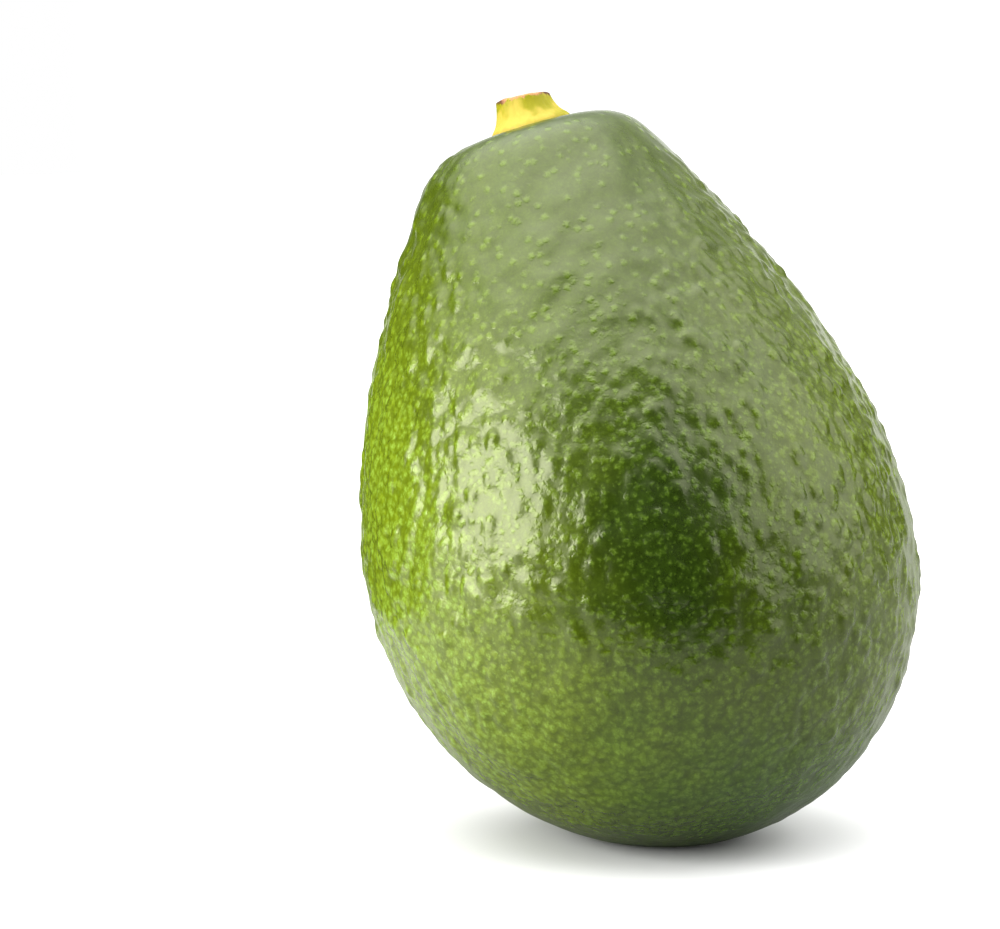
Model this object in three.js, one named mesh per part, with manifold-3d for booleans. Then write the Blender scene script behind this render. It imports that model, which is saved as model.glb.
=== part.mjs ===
// An avocado standing on its blunt blossom end, with the cut stub of its stalk in the stem end.
// Millimetres, +Z up. The origin is the centre of the small flat spot that the fruit rests on.
// The fruit is shaped upright, on its own axis, and then leaned over as it stands.
import * as THREE from 'three';
import { mergeVertices } from 'three/addons/utils/BufferGeometryUtils.js';
import Module from 'manifold-3d';

const { degToRad, smoothstep } = THREE.MathUtils;

// Fruit: its profile, from the blossom end up to the stem end.
const LENGTH = 101.3;
const BELLY_RADIUS = 37.3;
const BELLY_HEIGHT = 41.4;
const BLOSSOM_BLUNTNESS = 19.4; // how far the blossom end runs out flat
const BELLY_DROP = 25.2; // how far the belly runs down upright
const BELLY_RISE = 21.7; // how far the belly runs up upright
const SHOULDER_RADIUS = 16;
const SHOULDER_HEIGHT = 96.9;
const NECK_ANGLE = degToRad(31.7); // slope of the neck, from the axis
const NECK_RUN = 10.9; // how far the neck runs straight below the shoulder
const SHOULDER_ROUNDNESS = 0.76;
const CAP_RADIUS = 3; // flat middle of the stem end
const CAP_DIP = 0.6; // how far that middle lies below its rim
const BOW = 2; // the axis curves this far to the left at half its length

// How it stands.
const LEAN_LEFT = degToRad(17);
const LEAN_BACK = degToRad(11);
const RESTING_SPOT_DEPTH = 1.15; // the spot is about 9 mm in radius

// Pebbles of the skin.
const PEBBLE_SPACING = 7.5;
const PEBBLE_HEIGHT = 0.22;
const ROW_WANDER = 2.6; // how far the rows of pebbles stray
const WANDER_SPACING = 23;
const PEBBLES_START = 1.5; // height above the resting spot where they begin
const PEBBLES_FULL = 6;
const PEBBLES_KEEP_OFF_STEM = 9; // distance from the middle of the stem end
const PEBBLES_FULL_OFF_STEM = 20;
const SKIN_DETAIL = 22; // splits of each icosahedron edge

// Stem: a short stub that flares to its foot, which sits in a shallow seat.
const STEM_OFFSET = 0.7; // the stem grows this far to the right of the axis
const STUB_RADIUS = 3.8;
const STUB_HEIGHT = 4.6;
const FOOT_RADIUS = 5.8;
const FOOT_EDGE = 0.35; // height of the foot's edge above the stem end
const SEAT_DEPTH = 1.3;
const SEAT_GAP = 0.3;
const CUT_TILT = degToRad(6); // the cut isn't square to the stub
const CUT_CROWN = 0.25;
const STEM_SIDES = 48;

const LEAN = new THREE.Euler(-LEAN_BACK, -LEAN_LEFT, 0, 'YXZ');

const skinMaterial = new THREE.MeshStandardMaterial({ color: '#45701a', roughness: 0.35, metalness: 0 });
const stemMaterial = new THREE.MeshStandardMaterial({ color: '#ddcb54', roughness: 0.7, metalness: 0 });

const wasm = await Module();
wasm.setup();

// The welded, position-only form of a geometry.
function welded(geometry) {
  const bare = geometry.clone();
  bare.deleteAttribute('normal');
  bare.deleteAttribute('uv');
  return mergeVertices(bare, 1e-4);
}

function toSolid(geometry) {
  const { index, attributes } = welded(geometry);
  const corners = [];
  for (let i = 0; i < index.count; i += 3) {
    const [a, b, c] = [index.getX(i), index.getX(i + 1), index.getX(i + 2)];
    if (a !== b && b !== c && c !== a) corners.push(a, b, c);
  }
  const triVerts = new Uint32Array(corners);
  return new wasm.Manifold(
    new wasm.Mesh({ numProp: 3, vertProperties: attributes.position.array, triVerts }),
  );
}

function toGeometry(solid) {
  const { vertProperties, triVerts } = solid.getMesh();
  const geometry = new THREE.BufferGeometry();
  geometry.setAttribute('position', new THREE.BufferAttribute(vertProperties, 3));
  geometry.setIndex(new THREE.BufferAttribute(triVerts, 1));
  geometry.computeVertexNormals();
  return geometry;
}

// Half outline of the upright fruit: x is the radius and y the height.
function fruitProfile() {
  const neckTopRun = (LENGTH - SHOULDER_HEIGHT) / Math.cos(NECK_ANGLE);
  const cornerRadius = SHOULDER_RADIUS - Math.sin(NECK_ANGLE) * neckTopRun;
  const profile = new THREE.Path();
  profile.moveTo(0, 0);
  profile.bezierCurveTo(
    BLOSSOM_BLUNTNESS, 0,
    BELLY_RADIUS, BELLY_HEIGHT - BELLY_DROP,
    BELLY_RADIUS, BELLY_HEIGHT,
  );
  profile.bezierCurveTo(
    BELLY_RADIUS, BELLY_HEIGHT + BELLY_RISE,
    SHOULDER_RADIUS + Math.sin(NECK_ANGLE) * NECK_RUN, SHOULDER_HEIGHT - Math.cos(NECK_ANGLE) * NECK_RUN,
    SHOULDER_RADIUS, SHOULDER_HEIGHT,
  );
  profile.bezierCurveTo(
    THREE.MathUtils.lerp(SHOULDER_RADIUS, cornerRadius, SHOULDER_ROUNDNESS),
    THREE.MathUtils.lerp(SHOULDER_HEIGHT, LENGTH, SHOULDER_ROUNDNESS),
    THREE.MathUtils.lerp(CAP_RADIUS, cornerRadius, SHOULDER_ROUNDNESS), LENGTH,
    CAP_RADIUS, LENGTH - CAP_DIP,
  );
  profile.lineTo(0, LENGTH - CAP_DIP);
  return profile;
}

// Moves each vertex of a geometry to where a function puts it.
function reshape(geometry, place) {
  const position = geometry.attributes.position;
  const point = new THREE.Vector3();
  for (let i = 0; i < position.count; i += 1) {
    point.fromBufferAttribute(position, i);
    place(point, i);
    position.setXYZ(i, point.x, point.y, point.z);
  }
  return geometry;
}

// The smooth fruit, leaned over: an even ball of triangles drawn along the profile.
function smoothFruit() {
  const profile = fruitProfile();
  const ball = welded(new THREE.IcosahedronGeometry(1, SKIN_DETAIL));
  reshape(ball, (point) => {
    const angleFromBlossom = Math.acos(THREE.MathUtils.clamp(-point.z, -1, 1));
    const turn = Math.atan2(point.y, point.x);
    const { x: radius, y: height } = profile.getPoint(angleFromBlossom / Math.PI);
    const bow = BOW * Math.sin((Math.PI * height) / LENGTH);
    point.set(radius * Math.cos(turn) - bow, radius * Math.sin(turn), height);
    point.applyEuler(LEAN);
  });
  return ball;
}

// Where the axis's blossom end goes when the fruit stands with its resting spot at the origin.
function standingOffset(fruit) {
  const points = [];
  reshape(fruit, (point) => points.push(point.clone()));
  const floor = Math.min(...points.map((point) => point.z)) + RESTING_SPOT_DEPTH;
  const below = points.filter((point) => point.z < floor);
  const middle = below.reduce((sum, point) => sum.add(point), new THREE.Vector3()).divideScalar(below.length);
  return new THREE.Vector3(-middle.x, -middle.y, -floor);
}

// How far a row of pebbles strays, along another axis.
function wander(along, start) {
  return ROW_WANDER * Math.sin((2 * Math.PI * along) / WANDER_SPACING + start);
}

// Height of the pebbles at a point: the rounded cells of a gyroid whose rows wander, faded out at the
// resting spot and the stem.
function pebbleHeight(point, stemEnd) {
  const strayed = [
    point.x + wander(point.y, 0.4) + wander(point.z, 2.1),
    point.y + wander(point.z, 3.2) + wander(point.x, 5.3),
    point.z + wander(point.x, 1.1) + wander(point.y, 4.4),
  ];
  const [x, y, z] = strayed.map((value) => (value * 2 * Math.PI) / PEBBLE_SPACING);
  const cells = Math.sin(x) * Math.cos(y) + Math.sin(y) * Math.cos(z) + Math.sin(z) * Math.cos(x);
  const offFloor = smoothstep(point.z, PEBBLES_START, PEBBLES_FULL);
  const offStem = smoothstep(point.distanceTo(stemEnd), PEBBLES_KEEP_OFF_STEM, PEBBLES_FULL_OFF_STEM);
  return PEBBLE_HEIGHT * cells * offFloor * offStem;
}

function raisePebbles(fruit, stemEnd) {
  fruit.computeVertexNormals();
  const normals = fruit.attributes.normal;
  const outward = new THREE.Vector3();
  reshape(fruit, (point, i) => {
    outward.fromBufferAttribute(normals, i);
    point.addScaledVector(outward, pebbleHeight(point, stemEnd));
  });
}

// Everything below the resting spot.
function floorBlock() {
  const side = 2 * LENGTH;
  return new THREE.BoxGeometry(side, side, side).translate(0, 0, -side / 2);
}

// The shallow seat of the stem, cut into the stem end.
function seatTool() {
  const radius = FOOT_RADIUS + SEAT_GAP;
  const tool = new THREE.CylinderGeometry(radius, radius - SEAT_GAP, 2 * SEAT_DEPTH, STEM_SIDES);
  return tool.rotateX(Math.PI / 2);
}

// Half outline of the stem: its foot's flat underside, the flaring side and the crowned cut.
function stemProfile() {
  const underside = SEAT_GAP - SEAT_DEPTH;
  const profile = new THREE.Path();
  profile.moveTo(0, underside);
  profile.lineTo(FOOT_RADIUS - SEAT_GAP, underside);
  profile.lineTo(FOOT_RADIUS, FOOT_EDGE);
  profile.bezierCurveTo(
    FOOT_RADIUS - 0.4, 1.3,
    STUB_RADIUS + 0.6, 1.4,
    STUB_RADIUS, STUB_HEIGHT - 0.2,
  );
  profile.lineTo(STUB_RADIUS - 0.2, STUB_HEIGHT);
  profile.quadraticCurveTo(STUB_RADIUS / 2, STUB_HEIGHT + CUT_CROWN, 0, STUB_HEIGHT + CUT_CROWN);
  return profile;
}

// The stub isn't quite round, and its cut is tilted.
function stemGeometry() {
  const stem = new THREE.LatheGeometry(stemProfile().getPoints(8), STEM_SIDES);
  stem.rotateX(Math.PI / 2);
  return reshape(stem, (point) => {
    const turn = Math.atan2(point.y, point.x);
    const above = smoothstep(point.z, FOOT_EDGE, STUB_HEIGHT);
    const fluting = 1 + above * (0.03 * Math.sin(3 * turn + 0.6) + 0.02 * Math.sin(7 * turn));
    point.set(point.x * fluting, point.y * fluting, point.z + above * Math.tan(CUT_TILT) * -point.x);
  });
}

const fruitSkin = smoothFruit();
const offset = standingOffset(fruitSkin);
fruitSkin.translate(offset.x, offset.y, offset.z);
const stemEnd = new THREE.Vector3(STEM_OFFSET, 0, LENGTH - CAP_DIP).applyEuler(LEAN).add(offset);
raisePebbles(fruitSkin, stemEnd);

const seat = seatTool();
seat.applyMatrix4(new THREE.Matrix4().makeRotationFromEuler(LEAN).setPosition(stemEnd));
const fruitSolid = toSolid(fruitSkin).subtract(toSolid(floorBlock())).subtract(toSolid(seat));

const fruit = new THREE.Mesh(toGeometry(fruitSolid), skinMaterial);
fruit.name = 'fruit';

const stem = new THREE.Mesh(stemGeometry(), stemMaterial);
stem.name = 'stem';
stem.position.copy(stemEnd);
stem.rotation.copy(LEAN);

const avocado = new THREE.Group();
avocado.add(fruit, stem);

export default avocado;
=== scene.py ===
"""The finish of an avocado that stands on its blunt end: pebbled skin, a cut stem, and a pale studio."""

import math

import bpy
from bpy.props import FloatProperty, FloatVectorProperty, IntProperty, PointerProperty
from mathutils import Euler, Matrix, Vector


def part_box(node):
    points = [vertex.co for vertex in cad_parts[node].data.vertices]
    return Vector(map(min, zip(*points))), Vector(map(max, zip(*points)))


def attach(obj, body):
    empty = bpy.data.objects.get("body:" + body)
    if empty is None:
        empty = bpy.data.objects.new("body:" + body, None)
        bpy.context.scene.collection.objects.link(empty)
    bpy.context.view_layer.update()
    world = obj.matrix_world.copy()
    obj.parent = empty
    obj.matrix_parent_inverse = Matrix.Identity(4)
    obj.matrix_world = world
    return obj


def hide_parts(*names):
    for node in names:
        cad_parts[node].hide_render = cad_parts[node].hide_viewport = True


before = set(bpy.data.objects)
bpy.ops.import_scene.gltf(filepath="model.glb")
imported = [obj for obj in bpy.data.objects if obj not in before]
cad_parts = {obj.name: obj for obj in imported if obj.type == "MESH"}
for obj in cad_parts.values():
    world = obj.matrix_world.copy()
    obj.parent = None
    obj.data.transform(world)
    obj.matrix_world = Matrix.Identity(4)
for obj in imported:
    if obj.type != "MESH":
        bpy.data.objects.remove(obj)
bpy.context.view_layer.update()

bl_info = {
    "name": "Avocado finish",
    "version": (1, 0, 0),
    "blender": (4, 5, 0),
    "location": "3D View > Sidebar > Avocado",
    "description": "Models the skin and stem of an avocado round its frame, and lights it",
    "category": "Object",
}

MM = 0.001
BODY = "root"
FRUIT_LOW, FRUIT_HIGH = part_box("fruit")
FRUIT_MIDDLE = (FRUIT_LOW + FRUIT_HIGH) / 2
FRUIT_SIZE = FRUIT_HIGH - FRUIT_LOW

# The fruit leans to the left and back, and its stem with it.
LEAN_LEFT = math.radians(17)
LEAN_BACK = math.radians(11)
LEAN = Euler((-LEAN_BACK, -LEAN_LEFT, 0), "ZXY").to_matrix()
AXIS = LEAN @ Vector((0, 0, 1))
CUT_TILT = math.radians(6)  # the stem's cut isn't square to it
STEM_UNDERSIDE = 1.0 * MM  # how far the frame's stem reaches down into its seat


def find_stem_end():
    """The point that the stem grows from, worked out from the frame's stem."""
    points = [vertex.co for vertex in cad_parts["stem"].data.vertices]
    middle = sum(points, Vector()) / len(points)
    foot = min(point.dot(AXIS) for point in points) + STEM_UNDERSIDE
    return middle + (foot - middle.dot(AXIS)) * AXIS


STEM_END = find_stem_end()


# ---------------------------------------------------------------------------------------------
# Settings
# ---------------------------------------------------------------------------------------------


def size(name, description, millimetres):
    """A length setting, whose default is given in millimetres."""
    return FloatProperty(name=name, description=description, default=millimetres * MM, min=0, unit="LENGTH")


def linear(hex_code):
    """An sRGB hex colour as linear red, green and blue."""
    channels = [int(hex_code[i : i + 2], 16) / 255 for i in (1, 3, 5)]
    return tuple(c / 12.92 if c <= 0.04045 else ((c + 0.055) / 1.055) ** 2.4 for c in channels)


def colour(name, description, hex_code):
    """A colour setting, whose default is given as an sRGB hex code."""
    return FloatVectorProperty(
        name=name, description=description, default=linear(hex_code), size=3, min=0, max=1, subtype="COLOR"
    )


class SkinSettings(bpy.types.PropertyGroup):
    """The avocado's skin."""

    cuts: IntProperty(name="Cuts", description="Cuts along each edge of the cage", default=31, min=3)
    refine: IntProperty(name="Refine", description="Times that the cage is subdivided", default=2, min=0)
    swell: size("Swell", "Spacing of the gentle swells", 5.0)
    swell_height: size("Swell height", "Height of the gentle swells", 0.5)
    pebble: size("Pebble", "Spacing of the pebbles", 2.2)
    pebble_height: size("Pebble height", "Height of a full pebble", 0.44)
    wrinkle: size("Wrinkle", "Spacing of the wrinkles on the shoulder", 2.0)
    wrinkle_height: size("Wrinkle height", "Height of the wrinkles", 0.5)
    grain: size("Grain", "Spacing of the fine grain between pebbles", 1.4)
    grain_height: size("Grain height", "Height of the fine grain and of the dots", 0.033)
    spot: size("Spot", "Spacing of the large breathing dots", 1.9)
    dot: size("Dot", "Spacing of the small breathing dots", 1.15)
    olive: colour("Olive", "Most of the skin", "#3e5009")
    # Painted shade: this darker green colours the middle of the front, where it gets little light.
    shade_green: colour("Deep green", "Middle of the front", "#273a06")
    fresh: colour("Fresh green", "Blossom end", "#35520f")
    # Painted light: this pale green colours the flanks, where light from the left and along the skin's edges
    # falls brighter.
    pale: colour("Pale green", "Flanks", "#5a6a09")
    dots: colour("Dots", "Breathing dots", "#80a03c")
    gloss: colour("Gloss", "Tint of the wax's reflections", "#fcffda")


class StemSettings(bpy.types.PropertyGroup):
    """The cut stub of the stalk."""

    fibre: size("Fibre", "Spacing of the fibres", 0.8)
    fibre_height: size("Fibre height", "Height of the fibres", 0.12)
    bark: colour("Bark", "Fresh side of the stub", "#b9a53c")
    ochre: colour("Ochre", "Drier patches under the rim", "#918c02")
    cut: colour("Cut", "Dried face of the cut", "#c58d62")
    rim: colour("Rim", "Dried brown edge of the cut and of the foot", "#4d2a18")


class StudioSettings(bpy.types.PropertyGroup):
    """Floor, lights and camera."""

    elevation: FloatProperty(
        name="Elevation", description="Height angle of the camera", default=math.radians(9), subtype="ANGLE"
    )
    distance: size("Distance", "Camera to the middle of the view", 650)
    view_width: size("View width", "Width of the view at that distance", 134.6)
    floor_radius: size("Floor radius", "Radius of the pale floor", 550)
    floor_front: size("Floor front", "How far the floor reaches in front of the fruit", 140)
    paper: colour("Paper", "Pale floor", "#e6e6e6")
    thrown: colour("Thrown light", "Light that the floor throws on the skin", "#9b9b9b")
    flag: colour("Flag", "Dark card beside the left edge", "#2a3a10")


# ---------------------------------------------------------------------------------------------
# Helpers
# ---------------------------------------------------------------------------------------------


def add_node(tree, kind, inputs=(), output=0, **settings):
    """Adds a node with its settings, fills or links its inputs, and returns one of its outputs."""
    node = tree.nodes.new(kind)
    for name, value in settings.items():
        setattr(node, name, value)
    for key, value in inputs.items() if isinstance(inputs, dict) else enumerate(inputs):
        if isinstance(value, bpy.types.NodeSocket):
            tree.links.new(value, node.inputs[key])
        else:
            node.inputs[key].default_value = value
    return None if output is None else node.outputs[output]


def start_relief(name):
    """A geometry tree that will move a mesh's points, with the mesh, and each point's place and normal."""
    tree = bpy.data.node_groups.new(name, "GeometryNodeTree")
    tree.interface.new_socket("Geometry", in_out="INPUT", socket_type="NodeSocketGeometry")
    tree.interface.new_socket("Geometry", in_out="OUTPUT", socket_type="NodeSocketGeometry")
    smooth = add_node(tree, "NodeGroupInput")
    place = add_node(tree, "GeometryNodeInputPosition")
    outward = add_node(tree, "GeometryNodeInputNormal")
    return tree, smooth, place, outward


def start_material(name):
    """A material with its tree, its shader, and the place of each point of the surface."""
    material = bpy.data.materials.new(name)
    material.use_nodes = True
    tree = material.node_tree
    place = add_node(tree, "ShaderNodeTexCoord", output="Object")
    return material, tree, tree.nodes["Principled BSDF"], place


def deselect_all():
    """Leaves edit mode and deselects everything."""
    if bpy.context.object and bpy.context.object.mode != "OBJECT":
        bpy.ops.object.mode_set(mode="OBJECT")
    bpy.ops.object.select_all(action="DESELECT")


def apply_modifier(piece, kind, name, **settings):
    """Adds a modifier to a piece, sets it and applies it."""
    modifier = piece.modifiers.new(name, kind)
    for key, value in settings.items():
        setattr(modifier, key, value)
    bpy.context.view_layer.objects.active = piece
    bpy.ops.object.modifier_apply(modifier=modifier.name)


def settle(piece):
    """Puts a piece's place into its mesh and smooths its shading."""
    deselect_all()
    piece.select_set(True)
    bpy.context.view_layer.objects.active = piece
    bpy.ops.object.transform_apply(location=True, rotation=True, scale=True)
    bpy.ops.object.shade_smooth()


# ---------------------------------------------------------------------------------------------
# Skin
# ---------------------------------------------------------------------------------------------

# Where the relief starts and is full, in millimetres: up from the resting spot, up from the blossom end, and
# away from the front of the neck, which stays calm in a band that is longer than wide.
OFF_FLOOR = (0.4, 4)
OFF_BLOSSOM = (8, 30)
OFF_NECK = (38, 66)
BLOSSOM_SHARE = 0.25  # the share of the relief that is left at the blossom end
NECK_SHARE = 0.12  # and at the front of the neck
NECK_FRONT = STEM_END + Vector((5, 0, 0)) * MM
NECK_BAND = (3.2, 1, 1)  # distances across it count this much more

DRAWN_OUT = (1, 1, 0.7)  # heights are shortened, so that swells and pebbles come out longer than wide
PEBBLE_SOFTNESS = 0.45
PEBBLE_SIDE = (0.65, 0.1)  # foot and top of a pebble's side, from its middle and in shares of their spacing
PEBBLE_PATCH = 5 * MM  # spacing of the patches where the pebbles are high or low
LOW_PEBBLES = 0.35  # height of the low ones, in that of the high ones

# The wrinkles run down the right shoulder. Where they start and are full, in millimetres: from the left, up
# from the belly, and down from the top.
ACROSS_SHOULDER = (0.86, 0, 0.51)
DOWN_SHOULDER = (0.51, 0, -0.86)
WRINKLE_WIDTH = 0.3  # width of a wrinkle, in its length
WRINKLES_FROM_LEFT = (-8, 2)
WRINKLES_FROM_BELLY = (62, 78)
WRINKLES_FROM_TOP = (98, 90)


def shoulder_wrinkles(tree, place, height, skin):
    """How far the long wrinkles rise or dip at each point, as a share of their height."""
    side = add_node(tree, "ShaderNodeSeparateXYZ", [place], "X")
    depth = add_node(tree, "ShaderNodeSeparateXYZ", [place], "Y")
    across = add_node(
        tree, "ShaderNodeVectorMath", [place, ACROSS_SHOULDER], "Value", operation="DOT_PRODUCT"
    )
    down = add_node(tree, "ShaderNodeVectorMath", [place, DOWN_SHOULDER], "Value", operation="DOT_PRODUCT")
    down = add_node(tree, "ShaderNodeMath", [down, WRINKLE_WIDTH], operation="MULTIPLY")
    folded = add_node(tree, "ShaderNodeCombineXYZ", [across, depth, down])
    noise = {"Vector": folded, "Scale": 1 / skin.wrinkle, "Detail": 1}
    wrinkles = add_node(tree, "ShaderNodeTexNoise", noise)
    wrinkles = add_node(tree, "ShaderNodeMath", [wrinkles, 0.5], operation="SUBTRACT")
    for measure, (start, full) in (
        (side, WRINKLES_FROM_LEFT),
        (height, WRINKLES_FROM_BELLY),
        (height, WRINKLES_FROM_TOP),
    ):
        ramp = [measure, start * MM, full * MM, 0, 1]
        share = add_node(tree, "ShaderNodeMapRange", ramp, interpolation_type="SMOOTHSTEP")
        wrinkles = add_node(tree, "ShaderNodeMath", [wrinkles, share], operation="MULTIPLY")
    return wrinkles


def pebbled_surface(skin):
    """A geometry tree that raises the skin's swells, pebbles and wrinkles along its normals."""
    tree, smooth, place, outward = start_relief("pebbles")

    # Swells and pebbles show least on the resting spot, round the blossom end and down the front of the neck.
    height = add_node(tree, "ShaderNodeSeparateXYZ", [place], "Z")
    from_neck = add_node(tree, "ShaderNodeVectorMath", [place, NECK_FRONT], operation="SUBTRACT")
    from_neck = add_node(tree, "ShaderNodeVectorMath", [from_neck, NECK_BAND], operation="MULTIPLY")
    from_neck = add_node(tree, "ShaderNodeVectorMath", [from_neck], "Value", operation="LENGTH")
    shown = 1.0
    for measure, (start, full), least in (
        (height, OFF_FLOOR, 0),
        (from_neck, OFF_NECK, NECK_SHARE),
        (height, OFF_BLOSSOM, BLOSSOM_SHARE),
    ):
        ramp = [measure, start * MM, full * MM, least, 1]
        share = add_node(tree, "ShaderNodeMapRange", ramp, interpolation_type="SMOOTHSTEP")
        shown = add_node(tree, "ShaderNodeMath", [share, shown], operation="MULTIPLY")

    # Both rise and dip from the form, which keeps its size.
    drawn_out = add_node(tree, "ShaderNodeVectorMath", [place, DRAWN_OUT], operation="MULTIPLY")
    noise = {"Vector": drawn_out, "Scale": 1 / skin.swell, "Detail": 1}
    swells = add_node(tree, "ShaderNodeTexNoise", noise)
    swells = add_node(tree, "ShaderNodeMath", [swells, 0.5], operation="SUBTRACT")
    cells = {"Vector": drawn_out, "Scale": 1 / skin.pebble, "Smoothness": PEBBLE_SOFTNESS}
    distance = add_node(tree, "ShaderNodeTexVoronoi", cells, "Distance", feature="SMOOTH_F1")
    ramp = [distance, *PEBBLE_SIDE, 0, 1]
    pebbles = add_node(tree, "ShaderNodeMapRange", ramp, interpolation_type="SMOOTHSTEP")
    pebbles = add_node(tree, "ShaderNodeMath", [pebbles, 0.5], operation="SUBTRACT")
    patches = add_node(
        tree, "ShaderNodeTexNoise", {"Vector": place, "Scale": 1 / PEBBLE_PATCH, "Detail": 1}
    )
    strength = add_node(tree, "ShaderNodeMapRange", [patches, 0.4, 0.6, LOW_PEBBLES, 1])
    pebbles = add_node(tree, "ShaderNodeMath", [pebbles, strength], operation="MULTIPLY")
    relief = add_node(tree, "ShaderNodeMath", [swells, skin.swell_height], operation="MULTIPLY")
    inputs = [pebbles, skin.pebble_height, relief]
    relief = add_node(tree, "ShaderNodeMath", inputs, operation="MULTIPLY_ADD")
    relief = add_node(tree, "ShaderNodeMath", [relief, shown], operation="MULTIPLY")

    wrinkles = shoulder_wrinkles(tree, place, height, skin)
    inputs = [wrinkles, skin.wrinkle_height, relief]
    relief = add_node(tree, "ShaderNodeMath", inputs, operation="MULTIPLY_ADD")
    offset = add_node(tree, "ShaderNodeVectorMath", {0: outward, "Scale": relief}, operation="SCALE")
    raised = add_node(tree, "GeometryNodeSetPosition", {"Geometry": smooth, "Offset": offset})
    add_node(tree, "NodeGroupOutput", [raised], None)
    return tree


# Where each green starts and is full, in millimetres: the dark patch inwards to its middle, the blossom end
# downwards, and the flanks outwards from the belly's middle. The dark patch is painted shade, darker green
# where the middle of the front gets little light; the pale flanks are painted light.
PATCH_MIDDLE = Vector((-2.2, -37, 45.5)) * MM
PATCH_BAND = (1.8, 1, 1)  # distances across it count more, so that the patch is taller than wide
BELLY_MIDDLE = Vector((-3, 0, 42)) * MM
LEFT_FLANK = (-0.95, 0, -0.30)  # the direction out to it
RIGHT_FLANK = (0.93, 0, 0.36)
PATCH_ZONE = (28, 8)
BLOSSOM_ZONE = (28, 6)
# The flanks are painted paler as painted light, which stands in for the light from the left and along the
# skin's edges.
LEFT_ZONE = (-4, 34)
RIGHT_ZONE = (12, 36)
ZONE_BAY = 9 * MM  # spacing of the bays along the zones' edges
ZONE_STRAY = 3 * MM  # how far those edges stray


def zoned_green(tree, place, height, skin):
    """The green of the skin, with how far each point is in the dark patch and on the flanks.

    Olive goes darker green in the dark patch as painted shade, fresh green at the blossom end, and pale on
    both flanks as painted light."""
    bays = add_node(tree, "ShaderNodeTexNoise", {"Vector": place, "Scale": 1 / ZONE_BAY, "Detail": 3})
    stray = add_node(tree, "ShaderNodeMapRange", [bays, 0.3, 0.7, -ZONE_STRAY, ZONE_STRAY])
    from_patch = add_node(tree, "ShaderNodeVectorMath", [place, PATCH_MIDDLE], operation="SUBTRACT")
    from_patch = add_node(tree, "ShaderNodeVectorMath", [from_patch, PATCH_BAND], operation="MULTIPLY")
    from_patch = add_node(tree, "ShaderNodeVectorMath", [from_patch], "Value", operation="LENGTH")
    out = add_node(tree, "ShaderNodeVectorMath", [place, BELLY_MIDDLE], operation="SUBTRACT")
    left = add_node(tree, "ShaderNodeVectorMath", [out, LEFT_FLANK], "Value", operation="DOT_PRODUCT")
    right = add_node(tree, "ShaderNodeVectorMath", [out, RIGHT_FLANK], "Value", operation="DOT_PRODUCT")
    green = (*skin.olive, 1)
    shares = []
    for measure, (start, full), most, tint in (
        (from_patch, PATCH_ZONE, 1, skin.shade_green),
        (height, BLOSSOM_ZONE, 0.9, skin.fresh),
        (left, LEFT_ZONE, 1, skin.pale),
        (right, RIGHT_ZONE, 0.65, skin.pale),
    ):
        measure = add_node(tree, "ShaderNodeMath", [measure, stray], operation="ADD")
        ramp = [measure, start * MM, full * MM, 0, most]
        share = add_node(tree, "ShaderNodeMapRange", ramp, interpolation_type="SMOOTHSTEP")
        green = add_node(tree, "ShaderNodeMix", {0: share, 6: green, 7: (*tint, 1)}, 2, data_type="RGBA")
        shares.append(share)
    patch, _, left_light, right_light = shares
    flank_light = add_node(tree, "ShaderNodeMath", [left_light, right_light], operation="MAXIMUM")
    return green, patch, flank_light


# Over these heights, in millimetres, the dots grow dense towards the blossom end, and the small ones appear
# below the neck.
DENSE_DOTS = (40, 14)
SMALL_DOTS = (84, 60)
LEAST_DENSE = 0.35  # on the belly
LEAST_SMALL = 0.15  # on the neck
DOT_REACH = (0.38, 0.62)  # radius of the dots in their spacing, where they are few and where dense
DOT_CLEARNESS = (0.27, 0.7)  # how much of their colour shows, from the front to the flanks
SMALLEST_DOT = 0.64  # spacing of the smallest dots, in that of the small ones
FAINTEST_DOT = 0.4  # strength of the faintest dots, in that of the strongest
DOT_SIDE = (1.4, 0.2)  # foot and top of a dot's raised side, in its radius
RAGGED = 0.5 * MM  # spacing of the dots' ragged edges
RAGGED_STRAY = 0.6 * MM  # how far those edges stray
SPECKLE = 0.3 * MM  # spacing of the fine speckle
SPECKLED = (0.4, 1.5)  # how strong a dot is, from its weakest speckle to its strongest


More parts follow.
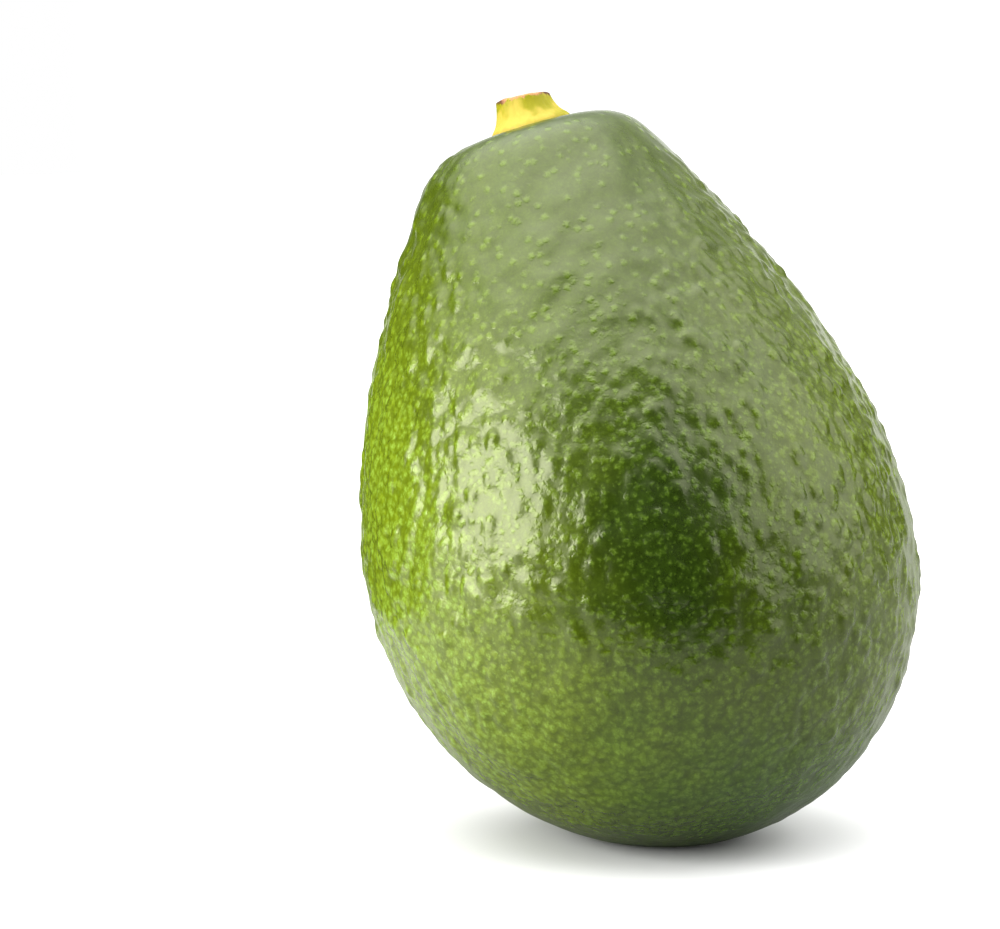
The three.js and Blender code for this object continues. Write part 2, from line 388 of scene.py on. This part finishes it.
def breathing_dots(tree, place, height, patch, flank_light, skin):
    """The share of the dots' colour at each point, with how high they stand and the fine speckle.

    They are ragged: few and large on the neck, and dense at the blossom end and on the flanks."""
    noise = {"Vector": place, "Scale": 1 / RAGGED, "Detail": 1}
    ragged = add_node(tree, "ShaderNodeTexNoise", noise, "Color")
    ragged = add_node(tree, "ShaderNodeVectorMath", [ragged, (0.5, 0.5, 0.5)], operation="SUBTRACT")
    ragged = add_node(tree, "ShaderNodeVectorMath", {0: ragged, "Scale": RAGGED_STRAY}, operation="SCALE")
    strayed = add_node(tree, "ShaderNodeVectorMath", [place, ragged], operation="ADD")
    shares = []
    for (start, full), least in ((DENSE_DOTS, LEAST_DENSE), (SMALL_DOTS, LEAST_SMALL)):
        ramp = [height, start * MM, full * MM, least, 1]
        shares.append(add_node(tree, "ShaderNodeMapRange", ramp, interpolation_type="SMOOTHSTEP"))
    blossom, belly = shares
    edge = add_node(tree, "ShaderNodeMapRange", [flank_light, 0.5, 1, 0, 1])
    dense = add_node(tree, "ShaderNodeMath", [edge, blossom], operation="MAXIMUM")
    reach = add_node(tree, "ShaderNodeMapRange", [dense, 0.3, 0.9, *DOT_REACH])

    # Large, small and smallest dots: their spacing and their radius in it, where they are, how strong and
    # how high.
    amount = 0.0
    mounds = 0.0
    for spacing, radius, where, most, rise in (
        (skin.spot, 0.29, 1.0, 0.6, 1.6),
        (skin.dot, reach, belly, 1.0, 1.0),
        (skin.dot * SMALLEST_DOT, reach, belly, 0.6, 0.3),
    ):
        cells = {"Vector": strayed, "Scale": 1 / spacing}
        distance = add_node(tree, "ShaderNodeTexVoronoi", cells, "Distance")
        chance = add_node(tree, "ShaderNodeTexVoronoi", cells, "Color")
        strength = add_node(tree, "ShaderNodeMapRange", [chance, 0, 1, FAINTEST_DOT * most, most])
        strength = add_node(tree, "ShaderNodeMath", [strength, where], operation="MULTIPLY")
        distance = add_node(tree, "ShaderNodeMath", [distance, radius], operation="DIVIDE")
        ramp = [distance, 1, 0, 0, 1]
        dot = add_node(tree, "ShaderNodeMapRange", ramp, interpolation_type="SMOOTHSTEP")
        amount = add_node(tree, "ShaderNodeMath", [dot, strength, amount], operation="MULTIPLY_ADD")
        ramp = [distance, *DOT_SIDE, 0, rise]
        mound = add_node(tree, "ShaderNodeMapRange", ramp, interpolation_type="SMOOTHSTEP")
        mounds = add_node(tree, "ShaderNodeMath", [mound, where, mounds], operation="MULTIPLY_ADD")

    # They are speckled. They show most on the flanks, which are painted light, and a little more in the dark
    # patch of painted shade than round it.
    speckle = add_node(tree, "ShaderNodeTexNoise", {"Vector": place, "Scale": 1 / SPECKLE, "Detail": 1})
    speckled = add_node(tree, "ShaderNodeMapRange", [speckle, 0.35, 0.65, *SPECKLED])
    amount = add_node(tree, "ShaderNodeMath", [amount, speckled], operation="MULTIPLY")
    clear = add_node(tree, "ShaderNodeMath", [patch, 0.1, edge], operation="MULTIPLY_ADD")
    clear = add_node(tree, "ShaderNodeMapRange", [clear, 0, 1, *DOT_CLEARNESS])
    amount = add_node(tree, "ShaderNodeMath", [amount, clear], operation="MULTIPLY")
    return amount, mounds, speckle


GRAIN_IN_SHADE = 1.4  # how much the grain counts in the painted shade of the hollows, beside the dots
PAINTED_SHADES = (0.65, 1.35)  # the darkest and the palest of that painted shade, as shares of the green
GRAIN_IN_BUMP = 0.8  # height of the grain, in that of the small dots
SPECKLE_IN_BUMP = 0.1  # and of the speckle


def waxed_skin(skin):
    """Avocado rind, grown: a tough skin under a thin wax. It gives clear, slightly soft reflections over dark
    olive green, with pale breathing dots. Its green holds painted shade in the dark patch and in the hollows
    between the dots, and painted light on the flanks and on the tops of the dots."""
    material, tree, surface, place = start_material("waxed avocado rind")
    height = add_node(tree, "ShaderNodeSeparateXYZ", [place], "Z")
    green, patch, flank_light = zoned_green(tree, place, height, skin)
    amount, mounds, speckle = breathing_dots(tree, place, height, patch, flank_light, skin)

    # Painted shade and light: the green is mottled by the grain and the speckle, darker where they and the
    # dots' mounds are low, in the hollows between the dots, and paler on their tops.
    grain = add_node(tree, "ShaderNodeTexNoise", {"Vector": place, "Scale": 1 / skin.grain, "Detail": 1})
    shade = add_node(tree, "ShaderNodeMath", [mounds, speckle], operation="ADD")
    shade = add_node(tree, "ShaderNodeMath", [grain, GRAIN_IN_SHADE, shade], operation="MULTIPLY_ADD")
    shade = add_node(tree, "ShaderNodeMapRange", [shade, 0.9, 2.5, *PAINTED_SHADES])
    green = add_node(tree, "ShaderNodeVectorMath", {0: green, "Scale": shade}, operation="SCALE")
    mix = {0: amount, 6: green, 7: (*skin.dots, 1)}
    spotted = add_node(tree, "ShaderNodeMix", mix, 2, data_type="RGBA")
    tree.links.new(spotted, surface.inputs["Base Color"])

    fine = add_node(tree, "ShaderNodeMath", [speckle, SPECKLE_IN_BUMP, mounds], operation="MULTIPLY_ADD")
    fine = add_node(tree, "ShaderNodeMath", [grain, GRAIN_IN_BUMP, fine], operation="MULTIPLY_ADD")
    relief = {"Height": fine, "Distance": skin.grain_height, "Strength": 1.0}
    bump = add_node(tree, "ShaderNodeBump", relief)
    tree.links.new(bump, surface.inputs["Normal"])
    surface.inputs["Roughness"].default_value = 0.26
    surface.inputs["IOR"].default_value = 1.5
    surface.inputs["Specular IOR Level"].default_value = 0.65
    surface.inputs["Specular Tint"].default_value = (*skin.gloss, 1)
    return material


WELD = 0.01 * MM  # points of the form closer than this are joined
SEAT_OPENING = 6.3 * MM  # radius round the stem's axis that takes in the seat and its rim
SEAT_REACH = 20 * MM  # the seat is looked for down to this depth, well above the blossom end
SPREADINGS = 4  # times that the skin is evened out and drawn onto the form
EASINGS = 6  # times that it is smoothed and filled out again


class AVOCADO_OT_fruit(bpy.types.Operator):
    """Model the pebbled skin over the fruit's frame"""

    bl_idname = "avocado.fruit"
    bl_label = "Fruit"

    def execute(self, context):
        skin = context.scene.avocado_skin

        # The form to follow is the frame's fruit, with a patch over the seat of the stem.
        deselect_all()
        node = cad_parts["fruit"]
        form = node.copy()
        form.data = node.data.copy()
        context.collection.objects.link(form)
        form.select_set(True)
        context.view_layer.objects.active = form
        bpy.ops.object.mode_set(mode="EDIT")
        bpy.ops.mesh.select_all(action="SELECT")
        bpy.ops.mesh.remove_doubles(threshold=WELD)
        bpy.ops.mesh.select_all(action="DESELECT")
        bpy.ops.object.mode_set(mode="OBJECT")
        for vertex in form.data.vertices:
            from_end = vertex.co - STEM_END
            along = from_end.dot(AXIS)
            vertex.select = along > -SEAT_REACH and (from_end - along * AXIS).length < SEAT_OPENING
        bpy.ops.object.mode_set(mode="EDIT")
        bpy.ops.mesh.delete(type="VERT")
        bpy.ops.mesh.select_non_manifold(extend=False)
        bpy.ops.mesh.edge_face_add()
        bpy.ops.object.mode_set(mode="OBJECT")

        # A finely cut cube is rounded, spread evenly over that form, and smoothed without shrinking.
        deselect_all()
        bpy.ops.mesh.primitive_cube_add(size=1, location=FRUIT_MIDDLE)
        fruit = context.object
        fruit.name = "fruit_skin"
        bpy.ops.object.mode_set(mode="EDIT")
        bpy.ops.mesh.select_all(action="SELECT")
        bpy.ops.mesh.subdivide(number_cuts=skin.cuts)
        bpy.ops.object.mode_set(mode="OBJECT")
        apply_modifier(
            fruit, "CAST", "round", cast_type="SPHERE", factor=1, size=0.5, use_radius_as_size=False
        )
        fruit.scale = FRUIT_SIZE
        settle(fruit)
        for _ in range(SPREADINGS):
            apply_modifier(fruit, "SMOOTH", "even", factor=0.5, iterations=4)
            apply_modifier(fruit, "SHRINKWRAP", "form", target=form, wrap_method="NEAREST_SURFACEPOINT")
        for _ in range(EASINGS):
            apply_modifier(fruit, "SMOOTH", "ease", factor=0.5, iterations=1)
            apply_modifier(fruit, "SMOOTH", "fill", factor=-0.53, iterations=1)
        bpy.data.objects.remove(form)
        apply_modifier(fruit, "SUBSURF", "refine", levels=skin.refine, render_levels=skin.refine)
        apply_modifier(fruit, "NODES", "pebbles", node_group=pebbled_surface(skin))
        settle(fruit)
        fruit.data.materials.append(waxed_skin(skin))
        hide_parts("fruit")
        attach(fruit, BODY)
        return {"FINISHED"}


# ---------------------------------------------------------------------------------------------
# Stem
# ---------------------------------------------------------------------------------------------

# The stub's outline in millimetres, radius and height above the stem end, from its underside to its rim.
STUB_OUTLINE = (
    (5.5, -1.0),
    (5.8, 0.2),
    (5.6, 0.7),
    (5.2, 1.2),
    (4.75, 1.65),
    (4.4, 2.25),
    (4.1, 3.0),
    (3.9, 3.7),
    (3.8, 4.25),
    (3.75, 4.6),
    (3.5, 4.75),
)
CUT_RINGS = (3.1, 2.4, 1.5, 0.7)  # radii of the rings across the cut, in millimetres
STUB_SIDES = 48
STUB_REFINE = 2  # times that the stub is subdivided
STUB_TILT = (0.35, 4.6)  # heights over which the stub takes up the tilt of its cut, in millimetres
LUMP = 3 * MM  # spacing of the lumps that make the stub uneven
LUMP_HEIGHT = 2.5  # in that of the fibres
FIBRE_WIDTH = (1, 1, 0.25)  # fibres are four times as long as wide


def fibrous_surface(stem):
    """A geometry tree that raises the stub's lumps and fibres, and tilts its cut."""
    tree, smooth, place, outward = start_relief("fibres")
    along = add_node(tree, "ShaderNodeVectorMath", [place, FIBRE_WIDTH], operation="MULTIPLY")
    lumps = add_node(tree, "ShaderNodeTexNoise", {"Vector": along, "Scale": 1 / LUMP, "Detail": 1})
    fibres = add_node(tree, "ShaderNodeTexNoise", {"Vector": along, "Scale": 1 / stem.fibre, "Detail": 1})
    relief = add_node(tree, "ShaderNodeMath", [lumps, LUMP_HEIGHT, fibres], operation="MULTIPLY_ADD")
    middle = (LUMP_HEIGHT + 1) / 2  # both rise and dip from the outline
    relief = add_node(tree, "ShaderNodeMath", [relief, -middle], operation="ADD")
    relief = add_node(tree, "ShaderNodeMath", [relief, stem.fibre_height], operation="MULTIPLY")
    bulge = add_node(tree, "ShaderNodeVectorMath", {0: outward, "Scale": relief}, operation="SCALE")

    across = add_node(tree, "ShaderNodeSeparateXYZ", [place], "X")
    height = add_node(tree, "ShaderNodeSeparateXYZ", [place], "Z")
    start, full = STUB_TILT
    ramp = [height, start * MM, full * MM, 0, 1]
    above = add_node(tree, "ShaderNodeMapRange", ramp, interpolation_type="SMOOTHSTEP")
    drop = add_node(tree, "ShaderNodeMath", [across, -math.tan(CUT_TILT)], operation="MULTIPLY")
    drop = add_node(tree, "ShaderNodeMath", [drop, above], operation="MULTIPLY")
    tilt = add_node(tree, "ShaderNodeCombineXYZ", {"Z": drop})
    offset = add_node(tree, "ShaderNodeVectorMath", [bulge, tilt], operation="ADD")
    raised = add_node(tree, "GeometryNodeSetPosition", {"Geometry": smooth, "Offset": offset})
    add_node(tree, "NodeGroupOutput", [raised], None)
    return tree


# Where the stub's colours start and are full, in millimetres: upwards for the ochre, the rim and the face,
# down to the foot, and across for the two ends of the rim, as it is browner there than in the middle.
OCHRE_ZONE = (1.9, 3.8)
RIM_ZONE = (4.15, 4.55)
FOOT_ZONE = (0.55, 0.2)
FACE_ZONE = (4.4, 4.7)
RIM_ENDS = (2.0, 3.2)
FACE_EDGE = (3.5, 2.95)  # and inwards for the face
OCHRE_PATCH = 3.5 * MM  # spacing of the ochre patches
OCHRE_SHARE = (-0.12, 0.1)  # how much less or more ochre there is, from low to high
RIM_STRAY = 0.35 * MM  # how far the fibres break up the edges of rim and foot


def dried_stalk(stem):
    """Fruit stalk, snipped and drying: fibrous and matt, yellow going ochre, with a brown dried rim."""
    material, tree, surface, place = start_material("dried stalk")
    upright = {"Vector": place, "Location": STEM_END, "Rotation": LEAN.to_euler()}
    local = add_node(tree, "ShaderNodeMapping", upright, vector_type="TEXTURE")
    across = add_node(tree, "ShaderNodeSeparateXYZ", [local], "X")
    height = add_node(tree, "ShaderNodeSeparateXYZ", [local], "Z")
    untilted = [across, math.tan(CUT_TILT), height]
    height = add_node(tree, "ShaderNodeMath", untilted, operation="MULTIPLY_ADD")
    flat = add_node(tree, "ShaderNodeVectorMath", [local, (1, 1, 0)], operation="MULTIPLY")
    radius = add_node(tree, "ShaderNodeVectorMath", [flat], "Value", operation="LENGTH")
    along = add_node(tree, "ShaderNodeVectorMath", [local, FIBRE_WIDTH], operation="MULTIPLY")

    # The side, from fresh yellow to ochre patches high up.
    low, high = OCHRE_ZONE
    noise = {"Vector": local, "Scale": 1 / OCHRE_PATCH, "Detail": 2}
    patches = add_node(tree, "ShaderNodeTexNoise", noise)
    drier = add_node(tree, "ShaderNodeMapRange", [height, low * MM, high * MM, *OCHRE_SHARE])
    patches = add_node(tree, "ShaderNodeMath", [patches, drier], operation="ADD")
    ramp = [patches, 0.44, 0.62, 0, 1]
    patches = add_node(tree, "ShaderNodeMapRange", ramp, interpolation_type="SMOOTHSTEP")
    mix = {0: patches, 6: (*stem.bark, 1), 7: (*stem.ochre, 1)}
    side = add_node(tree, "ShaderNodeMix", mix, 2, data_type="RGBA")

    # Its dried brown rim and foot, broken up by the fibres, and the face of the cut.
    fibres = add_node(tree, "ShaderNodeTexNoise", {"Vector": along, "Scale": 1 / stem.fibre, "Detail": 2})
    stray = add_node(tree, "ShaderNodeMapRange", [fibres, 0.3, 0.7, -RIM_STRAY, RIM_STRAY])
    strayed = add_node(tree, "ShaderNodeMath", [height, stray], operation="ADD")
    from_middle = add_node(tree, "ShaderNodeMath", [across], operation="ABSOLUTE")
    shares = []
    for measure, (start, full), most in (
        (strayed, RIM_ZONE, 1),
        (strayed, FOOT_ZONE, 0.2),
        (from_middle, RIM_ENDS, 1),
        (radius, FACE_EDGE, 1),
    ):
        ramp = [measure, start * MM, full * MM, 0, most]
        shares.append(add_node(tree, "ShaderNodeMapRange", ramp, interpolation_type="SMOOTHSTEP"))
    rim, foot, end, inside = shares
    edges = add_node(tree, "ShaderNodeMath", [rim, foot], operation="MAXIMUM")
    mix = {0: end, 6: (*stem.cut, 1), 7: (*stem.rim, 1)}
    dried = add_node(tree, "ShaderNodeMix", mix, 2, data_type="RGBA")
    brown = add_node(tree, "ShaderNodeMix", {0: edges, 6: side, 7: dried}, 2, data_type="RGBA")
    low, high = FACE_ZONE
    top = add_node(tree, "ShaderNodeMapRange", [height, low * MM, high * MM, 0, 1])
    face = add_node(tree, "ShaderNodeMath", [inside, top], operation="MULTIPLY")
    mix = {0: face, 6: brown, 7: (*stem.cut, 1)}
    whole = add_node(tree, "ShaderNodeMix", mix, 2, data_type="RGBA")
    tree.links.new(whole, surface.inputs["Base Color"])
    relief = {"Height": fibres, "Distance": stem.fibre_height, "Strength": 1.0}
    bump = add_node(tree, "ShaderNodeBump", relief)
    tree.links.new(bump, surface.inputs["Normal"])
    surface.inputs["Roughness"].default_value = 0.6
    surface.inputs["Specular IOR Level"].default_value = 0.25
    return material


class AVOCADO_OT_stem(bpy.types.Operator):
    """Model the cut stub of the stalk over the stem's frame"""

    bl_idname = "avocado.stem"
    bl_label = "Stem"

    def execute(self, context):
        stem = context.scene.avocado_stem

        # A disc is extruded up the outline ring by ring, and then in across the cut.
        deselect_all()
        radius, height = STUB_OUTLINE[0]
        bpy.ops.mesh.primitive_circle_add(
            vertices=STUB_SIDES, radius=radius * MM, fill_type="NGON", location=(0, 0, height * MM)
        )
        stub = context.object
        stub.name = "stem_stub"
        bpy.ops.object.transform_apply(location=True)
        bpy.ops.object.mode_set(mode="EDIT")
        bpy.ops.mesh.select_all(action="SELECT")
        cut_height = STUB_OUTLINE[-1][1]
        rings = STUB_OUTLINE[1:] + tuple((ring, cut_height) for ring in CUT_RINGS)
        for next_radius, next_height in rings:
            rise = (next_height - height) * MM
            growth = next_radius / radius
            bpy.ops.mesh.extrude_region_move(TRANSFORM_OT_translate={"value": (0, 0, rise)})
            bpy.ops.transform.resize(value=(growth, growth, 1), center_override=(0, 0, next_height * MM))
            radius, height = next_radius, next_height
        bpy.ops.mesh.select_all(action="SELECT")
        bpy.ops.mesh.normals_make_consistent(inside=False)
        bpy.ops.object.mode_set(mode="OBJECT")
        apply_modifier(stub, "SUBSURF", "round", levels=STUB_REFINE, render_levels=STUB_REFINE)
        apply_modifier(stub, "NODES", "fibres", node_group=fibrous_surface(stem))
        stub.location = STEM_END
        stub.rotation_euler = LEAN.to_euler()
        settle(stub)
        stub.data.materials.append(dried_stalk(stem))
        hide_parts("stem")
        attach(stub, BODY)
        return {"FINISHED"}


# ---------------------------------------------------------------------------------------------
# Studio
# ---------------------------------------------------------------------------------------------

FLOOR_SIDES = 96
# The floor throws more light from the left: where that starts and is full, in millimetres, and how much more.
BRIGHT_FLOOR = (-30, -100)
FLOOR_GAIN = 2

# The card and the lights have their places and sizes in metres. The dark card stands close to the fruit's
# left edge, and the camera doesn't see it.
FLAG_PLACE = (-0.105, 0.055, 0.05)
FLAG_SIZE = (0.13, 0.10, 1)
FLAG_TURN = (math.radians(90), 0, math.radians(60))

# The key light is four softboxes, each behind the last and larger, so that its edge fades.
KEY_LAYERS = 4
KEY_PLACE = Vector((-0.248, -0.140, 0.104))
KEY_WIDTH = 0.24
KEY_HEIGHT = 0.175
KEY_ROLL = math.radians(20)
KEY_BRIGHTNESS = 7.4  # of all four together
KEY_SHARE = 0.9  # of that width and height in the first layer
KEY_GROWTH = 0.07  # how much this share grows with each layer
KEY_STEP = 0.01  # and how much farther off it stands

SOFTBOX_WATTS = 4  # for each square metre, at a brightness of 1
CEILING = Vector((-0.22, 0.02, 0.975))  # the direction of the bright ceiling's middle
CEILING_EDGE = (0.45, 0.95)  # closeness to that direction where it starts and is full
CEILING_BRIGHTNESS = 4.4
AIM = Vector((-0.0224, -0.00695, 0.0524))  # the point that the camera looks at
SENSOR = 36  # width of the camera's sensor, in millimetres


def matt_paper(studio):
    """Matt white paper. The camera sees it overlit to pure white, but it throws a dimmer light on the skin,
    most of it from the left."""
    material, tree, surface, place = start_material("matt paper")
    across = add_node(tree, "ShaderNodeSeparateXYZ", [place], "X")
    start, full = BRIGHT_FLOOR
    lit = add_node(tree, "ShaderNodeMapRange", [across, start * MM, full * MM, 1, FLOOR_GAIN])
    thrown = add_node(tree, "ShaderNodeVectorMath", {0: studio.thrown, "Scale": lit}, operation="SCALE")
    seen = add_node(tree, "ShaderNodeLightPath", output="Is Camera Ray")
    mix = {0: seen, 6: thrown, 7: (*studio.paper, 1)}
    white = add_node(tree, "ShaderNodeMix", mix, 2, data_type="RGBA")
    tree.links.new(white, surface.inputs["Base Color"])
    surface.inputs["Roughness"].default_value = 1
    surface.inputs["Specular IOR Level"].default_value = 0
    return material


def flag_card(studio):
    """Dyed card, matt. It makes the skin's left edge reflect dark green, not the floor."""
    material = bpy.data.materials.new("dyed card")
    material.use_nodes = True
    surface = material.node_tree.nodes["Principled BSDF"]
    surface.inputs["Base Color"].default_value = (*studio.flag, 1)
    surface.inputs["Roughness"].default_value = 1
    return material


def softbox(name, place, width, height, brightness, roll=0.0, mirrored=True):
    """A rectangular soft light, aimed at the fruit's middle and rolled about that line. Its brightness
    counts a white sheet in full light as 1. The gloss of the skin can be kept from showing it."""
    light = bpy.data.lights.new(name, "AREA")
    light.shape = "RECTANGLE"
    light.size = width
    light.size_y = height
    light.energy = brightness * SOFTBOX_WATTS * width * height
    lamp = bpy.data.objects.new(name, light)
    bpy.context.collection.objects.link(lamp)
    lamp.location = place
    aimed = (FRUIT_MIDDLE - Vector(place)).to_track_quat("-Z", "Y").to_matrix()
    lamp.rotation_euler = (aimed @ Matrix.Rotation(roll, 3, "Z")).to_euler()
    lamp.visible_camera = False
    lamp.visible_glossy = mirrored


def studio_world():
    """White all round to the camera. To the skin, a bright ceiling, a wall behind it and a dark front."""
    world = bpy.data.worlds.new("studio")
    bpy.context.scene.world = world
    world.use_nodes = True
    tree = world.node_tree
    background = tree.nodes["Background"]
    direction = add_node(tree, "ShaderNodeTexCoord", output="Generated")
    across = add_node(tree, "ShaderNodeSeparateXYZ", [direction], "X")
    depth = add_node(tree, "ShaderNodeSeparateXYZ", [direction], "Y")
    height = add_node(tree, "ShaderNodeSeparateXYZ", [direction], "Z")
    upwards = add_node(tree, "ShaderNodeVectorMath", [direction, CEILING], "Value", operation="DOT_PRODUCT")
    ceiling = add_node(tree, "ShaderNodeMapRange", [upwards, *CEILING_EDGE, 0, CEILING_BRIGHTNESS])

    # Each ramp runs over a part of the direction, from a start to an end, and from one value to another.
    ramps = []
    for ramp in (
        [depth, -0.75, -0.4, 0.1, 1],  # the ceiling ends in front
        [depth, 0.7, 1.0, 0, 1],  # the wall stands behind
        [height, 0.4, 0.1, 0.35, 1],  # and is brightest low down
        [depth, 0.46, 0.7, 0.12, 1],  # a dimmer part of it reaches round beside the fruit
        [height, 0.12, 0.4, 0, 0.5],  # high up
        [across, -0.45, 0.2, 0.3, 1.5],  # the whole wall is brighter to the right
        [height, -0.1, 0, 1, 0],  # below the horizon it is white
        [depth, -0.6, 0, 0, 1],  # but not in front
    ):
        ramps.append(add_node(tree, "ShaderNodeMapRange", ramp, interpolation_type="SMOOTHSTEP"))
    front, behind, low, beside, high, rightwards, below, far = ramps
    ceiling = add_node(tree, "ShaderNodeMath", [ceiling, front], operation="MULTIPLY")
    wall = add_node(tree, "ShaderNodeMath", [behind, low], operation="MULTIPLY")
    dim = add_node(tree, "ShaderNodeMath", [beside, high], operation="MULTIPLY")
    wall = add_node(tree, "ShaderNodeMath", [wall, dim], operation="MAXIMUM")
    wall = add_node(tree, "ShaderNodeMath", [wall, rightwards], operation="MULTIPLY")
    ground = add_node(tree, "ShaderNodeMath", [below, far], operation="MULTIPLY")
    room = add_node(tree, "ShaderNodeMath", [ceiling, wall], operation="MAXIMUM")
    room = add_node(tree, "ShaderNodeMath", [room, ground], operation="MAXIMUM")
    seen = add_node(tree, "ShaderNodeLightPath", output="Is Camera Ray")
    strength = add_node(tree, "ShaderNodeMath", [room, seen], operation="MAXIMUM")
    tree.links.new(strength, background.inputs["Strength"])
    background.inputs["Color"].default_value = (1, 1, 1, 1)


class AVOCADO_OT_stage(bpy.types.Operator):
    """Make the floor, the lights and the camera"""

    bl_idname = "avocado.stage"
    bl_label = "Stage"

    def execute(self, context):
        studio = context.scene.avocado_studio
        deselect_all()
        floor_middle = (0, studio.floor_radius - studio.floor_front, 0)
        bpy.ops.mesh.primitive_circle_add(
            vertices=FLOOR_SIDES, radius=studio.floor_radius, location=floor_middle, fill_type="NGON"
        )
        floor = context.object
        floor.name = "floor"
        settle(floor)
        floor.data.materials.append(matt_paper(studio))

        bpy.ops.mesh.primitive_plane_add(size=1, location=FLAG_PLACE, rotation=FLAG_TURN)
        flag = context.object
        flag.name = "flag"
        flag.scale = FLAG_SIZE
        flag.data.materials.append(flag_card(studio))
        flag.visible_camera = False
        flag.visible_shadow = False
        settle(flag)

        studio_world()
        for layer in range(KEY_LAYERS):
            share = KEY_SHARE + KEY_GROWTH * layer
            softbox(
                f"key_left_{layer}",
                place=KEY_PLACE * (1 + KEY_STEP * layer),
                width=KEY_WIDTH * share,
                height=KEY_HEIGHT * share,
                brightness=KEY_BRIGHTNESS / KEY_LAYERS,
                roll=KEY_ROLL,
            )
        softbox("wall_right", place=(0.70, -0.15, 0.42), width=1.0, height=0.8, brightness=1.75)
        softbox(
            "back_right", place=(0.60, 0.45, 0.50), width=0.6, height=0.6, brightness=3.5, mirrored=False
        )

        back = Vector((0, -math.cos(studio.elevation), math.sin(studio.elevation)))
        data = bpy.data.cameras.new("camera")
        data.sensor_width = SENSOR
        data.lens = SENSOR * studio.distance / studio.view_width
        camera = bpy.data.objects.new("camera", data)
        context.collection.objects.link(camera)
        camera.location = AIM + back * studio.distance
        camera.rotation_euler = (-back).to_track_quat("-Z", "Y").to_euler()
        context.scene.camera = camera
        context.scene.view_settings.view_transform = "Standard"
        return {"FINISHED"}


# ---------------------------------------------------------------------------------------------
# Panel and registration
# ---------------------------------------------------------------------------------------------


class AVOCADO_PT_panel(bpy.types.Panel):
    bl_label = "Avocado"
    bl_space_type = "VIEW_3D"
    bl_region_type = "UI"
    bl_category = "Avocado"

    def draw(self, context):
        scene = context.scene
        for settings in (scene.avocado_skin, scene.avocado_stem, scene.avocado_studio):
            for name in settings.bl_rna.properties.keys():
                if name not in ("rna_type", "name"):
                    self.layout.prop(settings, name)
        for operator in (AVOCADO_OT_fruit, AVOCADO_OT_stem, AVOCADO_OT_stage):
            self.layout.operator(operator.bl_idname)


CLASSES = (
    SkinSettings,
    StemSettings,
    StudioSettings,
    AVOCADO_OT_fruit,
    AVOCADO_OT_stem,
    AVOCADO_OT_stage,
    AVOCADO_PT_panel,
)


def register():
    for cls in CLASSES:
        bpy.utils.register_class(cls)
    bpy.types.Scene.avocado_skin = PointerProperty(type=SkinSettings)
    bpy.types.Scene.avocado_stem = PointerProperty(type=StemSettings)
    bpy.types.Scene.avocado_studio = PointerProperty(type=StudioSettings)


def unregister():
    del bpy.types.Scene.avocado_skin, bpy.types.Scene.avocado_stem, bpy.types.Scene.avocado_studio
    for cls in reversed(CLASSES):
        bpy.utils.unregister_class(cls)


def main():
    register()
    bpy.ops.avocado.fruit()
    bpy.ops.avocado.stem()
    bpy.ops.avocado.stage()


if __name__ == "__main__":
    main()
